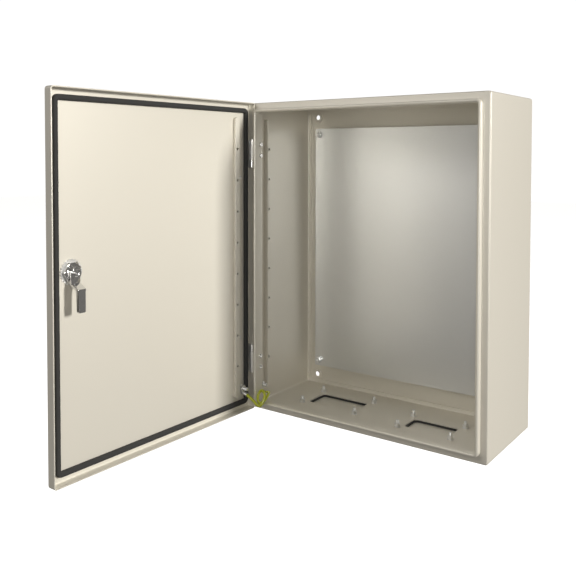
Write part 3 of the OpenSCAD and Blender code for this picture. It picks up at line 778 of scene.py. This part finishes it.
@dataclass
class Fittings:
    """Pieces whose shape is already right in the frame, given eased edges and a finish."""

    rounded: tuple[tuple[str, str, Finish, tuple[str, ...], float], ...] = (
        ("rear_panel", "cabinet", Finish.PAINT, ("back_panel",), 0.4),
        ("left_rail", "cabinet", Finish.PAINT, ("side_rail_left",), 0.5),
        ("right_rail", "cabinet", Finish.PAINT, ("side_rail_right",), 0.5),
        ("device_plate", "cabinet", Finish.GALVANISED, ("mounting_plate",), 0.35),
        ("plate_spacers", "cabinet", Finish.ZINC, ("plate_collars",), 0.3),
        ("gland_seals", "cabinet", Finish.FOAM, ("gland_gasket_left", "gland_gasket_right"), 0.3),
        ("frame_leaves", "cabinet", Finish.ZINC, ("hinge_frame_leaves",), 0.3),
        ("hinge_pivots", "cabinet", Finish.STEEL, ("hinge_pins",), 0.35),
        ("leaf_screws", "cabinet", Finish.ZINC, ("hinge_screws",), 0.35),
        ("cabinet_lug", "cabinet", Finish.TIN, ("body_lug",), 0.2),
        ("door_rail", "door", Finish.PAINT, ("door_stiffener",), 0.6),
        ("rail_screws", "door", Finish.ZINC, ("stiffener_screws",), 0.35),
        ("door_leaves", "door", Finish.ZINC, ("hinge_door_leaves",), 0.3),
        ("door_cable_lug", "door", Finish.TIN, ("door_lug",), 0.2),
        ("lock_core", "lock", Finish.LOCK, ("lock_rotor",), 0.2),
        ("locking_cam", "lock", Finish.LOCK, ("cam",), 0.9),
        ("cam_screw", "lock", Finish.LOCK, ("cam_bolt",), 0.4),
    )

    def build(self) -> None:
        """Makes every one of them."""
        for name, body, finish, nodes, ease in self.rounded:
            Piece(name, body, finish, nodes, bevel=ease, bevel_steps=3).from_nodes()


@dataclass
class PlateFixings:
    """Threaded studs, washers and nuts that hold the mounting plate off the back panel."""

    reach: tuple[float, float] = (167.0, 202.0)
    plate_front: float = -15.0
    stud: float = 6.0
    tip: float = 9.5
    washer_size: float = 12.5
    washer_thickness: float = 1.2
    nut_flats: float = 10.0
    nut_height: float = 5.0
    bite: float = 0.6
    pitch: float = 1.0

    def places(self) -> list[tuple[float, float]]:
        """Returns the four places, left and right, top and bottom."""
        return [(x * self.reach[0], z * self.reach[1]) for x in (-1, 1) for z in (-1, 1)]

    def build(self) -> None:
        """Makes the studs, the washers and the nuts."""
        nut_face = self.plate_front - self.washer_thickness
        parts: dict[str, Surface] = {
            "plate_studs": threaded(self.stud / 2, self.plate_front - self.tip, -BOX.sheet,
                                    self.pitch),
            "plate_washers": washer(self.washer_size, self.stud, nut_face, self.plate_front),
            "plate_nuts": hex_nut(self.nut_flats, self.stud - self.bite, nut_face,
                                  -self.nut_height),
        }
        for node, shape in parts.items():
            copies = [shifted(shape, x, z) for x, z in self.places()]
            Piece(node + "_fine", "cabinet", Finish.ZINC, (node,)).from_surface(
                copies[0].plus(*copies[1:]))


@dataclass
class GlandPlates:
    """The two blank plates under the floor with their welded studs, washers and nuts."""

    border: tuple[float, float] = (17.0, 19.0)
    stud_out: tuple[float, float] = (6.5, 8.5)
    thickness: float = 2.0
    seal: float = 3.0
    ease: float = 0.4
    stud: float = 5.0
    tip: float = 12.0
    weld: float = 0.5
    bite: float = 0.5
    pitch: float = 0.8
    washer_size: float = 10.0
    washer_thickness: float = 1.0
    nut_flats: float = 8.0
    nut_height: float = 4.5

    def places(self) -> list[tuple[float, float]]:
        """Returns the places of all eight studs."""
        return [(x + i * (w / 2 + self.stud_out[0]), y + j * (d / 2 + self.stud_out[1]))
                for x, y, w, d in BOX.gland_openings for i in (-1, 1) for j in (-1, 1)]

    @staticmethod
    def upright(surface: Surface, x: float, y: float, z: float) -> Surface:
        """Stands a fixing that was drawn along depth upright on a place in the floor.

        Depth becomes height, as (x, y, z) goes to (x, -z, y), so the turn keeps its handedness.
        """
        return surface.moved(lambda p: np.stack([p[:, 0] + x, -p[:, 2] + y, p[:, 1] + z], -1))

    def plate(self, x: float, y: float, width: float, depth: float) -> Surface:
        """Builds one flat plate with rounded corners and eased edges.

        Args:
            x: the middle of its opening, across.
            y: the middle of its opening, in depth.
            width: the width of the opening.
            depth: the depth of the opening.

        Returns:
            The plate's closed surface.
        """
        shape = Frame(x - width / 2 - self.border[0], x + width / 2 + self.border[0],
                      y - depth / 2 - self.border[1], y + depth / 2 + self.border[1],
                      BOX.gland_corner)
        high = BOX.bottom - self.seal
        low = high - self.thickness
        profile = np.array([[self.ease, low], [0.0, low + self.ease],
                            [0.0, high - self.ease], [self.ease, high]])
        rings = carried(shape, profile)[..., [0, 2, 1]]
        return grid(rings, wrap_columns=True, caps=True)

    def build(self) -> None:
        """Makes the plates, the studs, the washers and the nuts."""
        floor = BOX.bottom + BOX.sheet
        rod = threaded(self.stud / 2, 0.0, self.tip + self.seal + self.weld, self.pitch)
        root = BOX.bottom - self.seal - self.weld
        studs = [self.upright(rod, x, y, root) for x, y in self.places()]
        plates = [self.plate(*opening) for opening in BOX.gland_openings]
        Piece("gland_blanks", "cabinet", Finish.PAINT,
              ("gland_plate_left", "gland_plate_right")).from_surface(plates[0].plus(plates[1]))
        Piece("gland_studs", "cabinet", Finish.ZINC).from_surface(studs[0].plus(*studs[1:]))
        parts: dict[str, Surface] = {
            "gland_washers": washer(self.washer_size, self.stud, 0.0, self.washer_thickness),
            "gland_nuts": hex_nut(self.nut_flats, self.stud - self.bite, self.washer_thickness,
                                  self.nut_height),
        }
        for node, shape in parts.items():
            copies = [self.upright(shape, x, y, floor) for x, y in self.places()]
            Piece(node + "_fine", "cabinet", Finish.ZINC, (node,)).from_surface(
                copies[0].plus(*copies[1:]))


@dataclass
class Door:
    """The door pan with rolled edges, and the gasket foamed onto its inside."""

    bend: float = 2.2
    edge_ease: float = 0.3
    cap_inset: float = 3.0
    gasket_width: float = 7.5
    gasket_height: float = 5.484

    def pan(self) -> Surface:
        """Builds the pan: face, bend, return and its inside, as rings with two flat caps.

        Returns:
            The pan's closed surface, on the closed door.
        """
        s, bend, face, edge = BOX.sheet, self.bend, BOX.door_face, BOX.door_edge
        ease, cap = self.edge_ease, bend + self.cap_inset
        profile = np.concatenate([
            [[cap, face]],
            arc(bend, face + bend, bend, 270, 180, 7),
            [[0.0, edge - ease], [ease, edge], [s - ease, edge], [s, edge - ease]],
            arc(bend, face + bend, bend - s, 180, 270, 4),
            [[cap, BOX.door_inner]]])
        return grid(carried(BOX.door_outline, profile), wrap_columns=True, caps=True)

    def gasket(self) -> Surface:
        """Builds the gasket: a low crowned bead, slightly uneven along its length as foam lies.

        The unevenness is a sum of sines of the distance round the ring, up to 0.15 mm each way.

        Returns:
            The gasket's closed surface, on the closed door.
        """
        out = (self.gasket_width - BOX.rim_width) / 2
        base = BOX.rim
        shape = Frame(base.left - out, base.right + out, base.bottom - out, base.top + out,
                      base.radius + out, side_shares=tuple(np.linspace(0, 1, 90)))
        half, height = self.gasket_width / 2, self.gasket_height
        a = np.radians(np.linspace(180, 0, 15))
        crown = np.sign(np.cos(a)) * np.abs(np.cos(a)) ** 0.55 * half
        rise = np.abs(np.sin(a)) ** 0.45 * (height - 0.2)
        profile = np.stack([half + crown, BOX.door_inner + rise], -1)
        rings = carried(shape, profile)
        around = np.arange(rings.shape[1])[None, :]
        uneven = (0.09 * np.sin(around * 0.83) + 0.06 * np.sin(around * 2.11 + 1.3))
        lift = (rings[..., 1] - BOX.door_inner) / height
        rings[..., 1] += uneven * lift
        return grid(rings, wrap_rows=True, wrap_columns=True)

    def build(self) -> None:
        """Makes the pan and the gasket."""
        Piece("door_pan", "door", Finish.PAINT, ("door_skin",)).from_surface(
            self.pan().moved(BOX.swung))
        Piece("door_seal", "door", Finish.FOAM, ("door_gasket",), sharp_angle=60).from_surface(
            self.gasket().moved(BOX.swung))


@dataclass
class Lock:
    """The lock's fixed pieces: outside bezel with its threaded barrel, toothed washer and nut."""

    x: float = 163.5
    z: float = 17.0
    barrel: float = 20.0
    bezel: float = 29.0
    bezel_height: float = 3.0
    core: float = 13.0
    core_end: float = -183.784
    tooth_washer: float = 34.0
    tooth_thickness: float = 1.6
    teeth: int = 24
    tooth_depth: float = 1.7
    nut_flats: float = 25.0
    nut_height: float = 5.0
    core_play: float = 0.05
    dome: float = 2.2
    pitch: float = 1.0
    rows_a_turn: int = 6

    def housing(self) -> Surface:
        """Builds the bezel, turned with a domed face, and the threaded barrel behind it."""
        face, r = BOX.door_face, self.core / 2 + self.core_play
        outer = self.bezel / 2
        front = face - self.bezel_height
        bezel = np.concatenate([
            [[r, face], [r, front + 0.8], [r + 0.4, front + 0.4]],
            arc(outer - self.dome, front + self.dome, self.dome, 270, 360, 6), [[outer, face]]])
        a = np.linspace(0, 2 * math.pi, 64, endpoint=False)
        dome = grid(np.stack([bezel[:, :1] * np.cos(a), bezel[:, 1:] + 0 * a,
                              bezel[:, :1] * np.sin(a)], -1), wrap_rows=True, wrap_columns=True)
        pitch, length = self.pitch, self.core_end - face
        rows = int(length / pitch * self.rows_a_turn)
        y = np.linspace(0, length, rows)[:, None]
        phase = np.mod(y / pitch - a / (2 * math.pi), 1.0)
        thread = self.barrel / 2 - 0.45 * np.abs(2 * phase - 1)
        thread = np.minimum(thread, self.barrel / 2 - 0.6 + (length - y) * 1.1)
        outside = np.stack([thread * np.cos(a), face + y + 0 * a, thread * np.sin(a)], -1)
        inside = np.stack([np.stack([r * np.cos(a), depth + 0 * a, r * np.sin(a)], -1)
                           for depth in (self.core_end, face)])
        sleeve = grid(np.concatenate([outside, inside]), wrap_rows=True, wrap_columns=True)
        return dome.plus(sleeve)

    def toothed(self) -> Surface:
        """Builds the toothed washer: its outer radius follows a saw wave, one wave to a tooth."""
        steps = 240
        a = np.linspace(0, 2 * math.pi, steps, endpoint=False)[None, :]
        saw = np.abs(2 * np.mod(a * self.teeth / (2 * math.pi), 1.0) - 1)
        outer = self.tooth_washer / 2 - self.tooth_depth * np.clip(saw * 1.6 - 0.3, 0, 1)
        low, high = BOX.door_inner, BOX.door_inner + self.tooth_thickness
        bore = self.barrel / 2 + 0.1 + 0 * a
        rows = [(bore, low + 0 * a), (outer - 2.5, low + 0 * a), (outer, low + 0.1 + 0 * a),
                (outer, high - 0.2 + 0 * a), (outer - 0.3, high + 0 * a),
                (bore, high + 0 * a)]
        points = np.stack([np.stack([(r * np.cos(a))[0], y[0], (r * np.sin(a))[0]], -1)
                           for r, y in rows])
        return grid(points, wrap_rows=True, wrap_columns=True)

    def build(self) -> None:
        """Makes the housing, the washer and the nut."""
        seat = BOX.door_inner + self.tooth_thickness
        for name, node, finish, shape in (
                ("lock_body", "lock_housing", Finish.LOCK, self.housing()),
                ("lock_tooth_washer", "lock_washer", Finish.ZINC, self.toothed()),
                ("lock_ring_nut", "lock_nut", Finish.LOCK,
                 hex_nut(self.nut_flats, self.barrel, seat, self.nut_height))):
            Piece(name, "door", finish, (node,)).from_surface(
                shifted(shape, self.x, self.z).moved(BOX.swung))


@dataclass
class Bonding:
    """The two earth studs with washers and nuts, and the striped wire between their lugs."""

    door_stud: tuple[float, float, float] = (-173.0, 15.0, -214.0)
    side_stud: tuple[float, float, float] = (-150.0, 14.0, -219.0)
    stud: float = 6.0
    bite: float = 0.6
    pitch: float = 1.0
    washer_size: float = 12.0
    washer_thickness: float = 1.2
    lug_thickness: float = 1.0
    nut_flats: float = 10.0
    nut_height: float = 5.0
    wire: float = 4.5
    corner: tuple[float, float, float] = (-200.0, -176.0, -250.0)
    route: tuple[tuple[float, float, float], ...] = (
        (9.7, -20.1, 25.5), (16, -19.2, 21.5), (23, -18.4, 16.5), (28.5, -18, 12.2),
        (33.8, -17, 11.5), (37.5, -14.2, 17), (38, -10, 25.5), (34, -6.4, 31.5),
        (27.5, -5, 32), (22.8, -6.2, 26), (24.5, -10.2, 18), (31, -12.4, 13.5),
        (37, -8.4, 19.5), (38.5, -1.5, 26), (35, 6, 27), (28, 12, 25.5),
        (19, 17, 22.5), (12, 19.5, 21))
    lug_starts: tuple[tuple[float, float, float], ...] = ((1.9, -21.3, 28.4), (3, 20.8, 22.3))
    steps_between: int = 8
    sides: int = 20

    def centreline(self) -> np.ndarray:
        """Samples the smooth curve through the route's points, a Catmull-Rom spline.

        Between p1 and p2 it is (2 p1 + (p2 - p0) t + (2 p0 - 5 p1 + 4 p2 - p3) t^2
        + (3 p1 - p0 - 3 p2 + p3) t^3) / 2, with the end points repeated.

        Returns:
            An array of points by 3, in millimetres.
        """
        points = np.array(self.route) + np.array(self.corner)
        padded = np.concatenate([points[:1], points, points[-1:]])
        u = np.arange((len(points) - 1) * self.steps_between + 1) / self.steps_between
        i = np.minimum(u.astype(int), len(points) - 2)
        t = (u - i)[:, None]
        p0, p1, p2, p3 = (padded[i + k] for k in range(4))
        return (2 * p1 + (p2 - p0) * t + (2 * p0 - 5 * p1 + 4 * p2 - p3) * t ** 2
                + (3 * p1 - p0 - 3 * p2 + p3) * t ** 3) / 2

    def tube(self, line: np.ndarray) -> Surface:
        """Carries a circle along the wire's line: p + r (side cos a + up sin a), with striped UVs.

        Args:
            line: the centreline.

        Returns:
            The wire's closed surface, with U once round it and V along it.
        """
        along = np.gradient(line, axis=0)
        corner = np.array(self.corner)
        along[0] = line[0] - corner - np.array(self.lug_starts[0])
        along[-1] = corner + np.array(self.lug_starts[1]) - line[-1]
        along /= np.linalg.norm(along, axis=1, keepdims=True)
        side = np.cross(along, np.array([0.2, 0.9, 0.4]))
        side /= np.linalg.norm(side, axis=1, keepdims=True)
        up = np.cross(side, along)
        a = np.linspace(0, 2 * math.pi, self.sides, endpoint=False)[None, :, None]
        points = line[:, None] + self.wire / 2 * (side[:, None] * np.cos(a) + up[:, None] * np.sin(a))
        tube = grid(points, wrap_columns=True, caps=True)
        rows = len(line)
        i, j = np.meshgrid(np.arange(rows - 1), np.arange(self.sides), indexing="ij")
        i, j = i.ravel(), j.ravel()
        u = np.stack([j, j, j + 1, j + 1], -1) / self.sides
        v = np.stack([i, i + 1, i + 1, i], -1) / rows
        tube.uv = np.concatenate([np.stack([u, v], -1).reshape(-1, 2),
                                  np.zeros((2 * self.sides, 2))])
        return tube

    def fixing(self, place: Callable[[np.ndarray], np.ndarray], length: float, base: float,
               body: str, nodes: tuple[str, str, str]) -> None:
        """Makes one stud with its washer and nut.

        Args:
            place: carries points drawn along depth to where the stud stands.
            length: the stud's length.
            base: the depth of the surface that the stud stands on, before placing.
            body: the body that it rides on.
            nodes: the stud's, the washer's and the nut's nodes.
        """
        seat = base + self.washer_thickness
        shapes = (threaded(self.stud / 2, base, base + length, self.pitch),
                  washer(self.washer_size, self.stud, base, seat),
                  hex_nut(self.nut_flats, self.stud - self.bite, seat + self.lug_thickness,
                          self.nut_height))
        for node, shape in zip(nodes, shapes):
            Piece(node + "_fine", body, Finish.ZINC, (node,)).from_surface(shape.moved(place))

    def build(self) -> None:
        """Makes both studs with their fixings and the wire."""
        x, length, z = self.door_stud
        self.fixing(lambda p: BOX.swung(p + np.array([x, 0, z])), length, BOX.door_inner, "door",
                    ("door_bond_stud", "door_bond_washer", "door_bond_nut"))
        y, side_length, low = self.side_stud
        self.fixing(lambda p: np.stack([BOX.left + BOX.sheet + p[:, 1], y - p[:, 0], low + p[:, 2]],
                                       -1), side_length, 0.0, "cabinet",
                    ("body_bond_stud", "body_bond_washer", "body_bond_nut"))
        line = self.centreline()
        wire = Piece("earth_wire", "cabinet", Finish.INSULATION, ("bonding_wire",),
                     sharp_angle=60, bends=Bend("door", tuple(line[-1] * MM), tuple(line[0] * MM))
                     ).from_surface(self.tube(line))


# ------------------------------------------------------------------ studio

@dataclass
class Studio:
    """Camera, lights, floor and surrounding light."""

    eye: tuple[float, float, float] = (0.5453, -1.1436, 0.1636)
    pitch_down: float = 1.982
    turn_left: float = 37.268
    focal_px: float = 744.77
    middle_px: tuple[float, float] = (254.11, 181.98)
    frame_px: float = 576.0
    sensor: float = 36.0
    floor_height: float = -0.62
    floor_reach: float = 12.0
    white: float = 1.05
    ambient: float = 0.21
    mirrored: float = 0.17
    ambient_colour: tuple[float, float, float] = (1.0, 0.96, 0.90)

    def camera(self) -> None:
        """Makes the camera and the shift that the framing needs."""
        data = bpy.data.cameras.new("camera")
        data.sensor_width = self.sensor
        data.lens = self.focal_px / self.frame_px * self.sensor
        data.shift_x = 0.5 - self.middle_px[0] / self.frame_px
        data.shift_y = self.middle_px[1] / self.frame_px - 0.5
        data.clip_start = 0.01
        camera = bpy.data.objects.new("camera", data)
        camera.location = self.eye
        camera.rotation_euler = (math.radians(90 - self.pitch_down), 0,
                                 math.radians(self.turn_left))
        bpy.context.scene.collection.objects.link(camera)
        bpy.context.scene.camera = camera

    @staticmethod
    def lamp(name: str, place: tuple[float, float, float], aim: tuple[float, float, float],
             size: tuple[float, float], power: float,
             colour: tuple[float, float, float]) -> bpy.types.Object:
        """Makes one soft area light.

        Args:
            name: its name.
            place: where it hangs.
            aim: the point it faces.
            size: its width and height, in metres.
            power: its power, in watts.
            colour: its colour.

        Returns:
            The light.
        """
        data = bpy.data.lights.new(name, "AREA")
        data.shape = "RECTANGLE"
        data.size, data.size_y = size
        data.energy = power
        data.color = colour
        lamp = bpy.data.objects.new(name, data)
        lamp.location = place
        lamp.rotation_euler = (Vector(aim) - Vector(place)).to_track_quat("-Z", "Y").to_euler()
        bpy.context.scene.collection.objects.link(lamp)
        return lamp

    def floor(self) -> None:
        """Makes the plain pale floor."""
        mesh = bpy.data.meshes.new("floor")
        size = self.floor_reach
        mesh.from_pydata([(-size, -size, self.floor_height), (size, -size, self.floor_height),
                          (size, size, self.floor_height), (-size, size, self.floor_height)],
                         [], [(0, 1, 2, 3)])
        floor = bpy.data.objects.new("floor", mesh)
        bpy.context.scene.collection.objects.link(floor)
        n = Nodes("pale_floor")
        n.set(Base_Color=(0.95, 0.95, 0.95, 1.0), Roughness=0.9, Emission_Color=(1, 1, 1, 1.0),
              Emission_Strength=0.8)
        mesh.materials.append(n.material)
        floor.visible_diffuse = False
        floor.visible_glossy = False

    def surround(self) -> None:
        """Makes the surroundings: plain white where seen, a dimmer light elsewhere and in gloss."""
        world = bpy.data.worlds.new("studio")
        bpy.context.scene.world = world
        world.use_nodes = True
        tree = world.node_tree
        seen = tree.nodes["Background"]
        seen.inputs["Color"].default_value = (1, 1, 1, 1)
        seen.inputs["Strength"].default_value = self.white
        soft = tree.nodes.new("ShaderNodeBackground")
        soft.inputs["Color"].default_value = (*self.ambient_colour, 1)
        soft.inputs["Strength"].default_value = self.ambient
        path = tree.nodes.new("ShaderNodeLightPath")
        mix = tree.nodes.new("ShaderNodeMixShader")
        glossy = tree.nodes.new("ShaderNodeBackground")
        glossy.inputs["Color"].default_value = (*self.ambient_colour, 1)
        glossy.inputs["Strength"].default_value = self.mirrored
        dim = tree.nodes.new("ShaderNodeMixShader")
        tree.links.new(path.outputs["Is Glossy Ray"], dim.inputs["Fac"])
        tree.links.new(soft.outputs["Background"], dim.inputs[1])
        tree.links.new(glossy.outputs["Background"], dim.inputs[2])
        tree.links.new(path.outputs["Is Camera Ray"], mix.inputs["Fac"])
        tree.links.new(dim.outputs["Shader"], mix.inputs[1])
        tree.links.new(seen.outputs["Background"], mix.inputs[2])
        tree.links.new(mix.outputs["Shader"], tree.nodes["World Output"].inputs["Surface"])

    def build(self) -> None:
        """Makes the whole studio."""
        self.camera()
        self.surround()
        self.floor()
        self.lamp("key", (5.2, 0.5, 1.5), (-0.1, -0.35, 0.0), (0.6, 1.0), 262, (1.0, 0.97, 0.91))
        self.lamp("front", (-1.25, -2.45, 1.5), (0.0, 0.0, 0.05), (1.0, 0.7), 16, (1.0, 0.97, 0.93))
        self.lamp("fill", (2.4, -2.6, 0.0), (0.0, 0.0, 0.0), (1.2, 1.2), 8, (1.0, 0.96, 0.90))
        self.lamp("top", (-0.25, -0.38, 3.0), (-0.25, -0.38, 0.0), (0.8, 0.8), 6, (1.0, 0.97, 0.92))
        sheen = self.lamp("sheen", (0.80, -2.1, 0.30), (-0.2, -0.33, 0.15), (0.45, 0.40), 22,
                          (1.0, 0.99, 0.95))
        sheen.visible_diffuse = False
        bpy.context.scene.view_settings.view_transform = "Standard"


def main() -> None:
    """Builds the studio and every sub-assembly in order."""
    logging.basicConfig(level=logging.INFO, format="%(name)s: %(message)s")
    Studio().build()
    Bonding().build()
    CabinetShell().build()
    Fittings().build()
    PlateFixings().build()
    GlandPlates().build()
    Door().build()
    Lock().build()


if __name__ == "__main__":
    main()
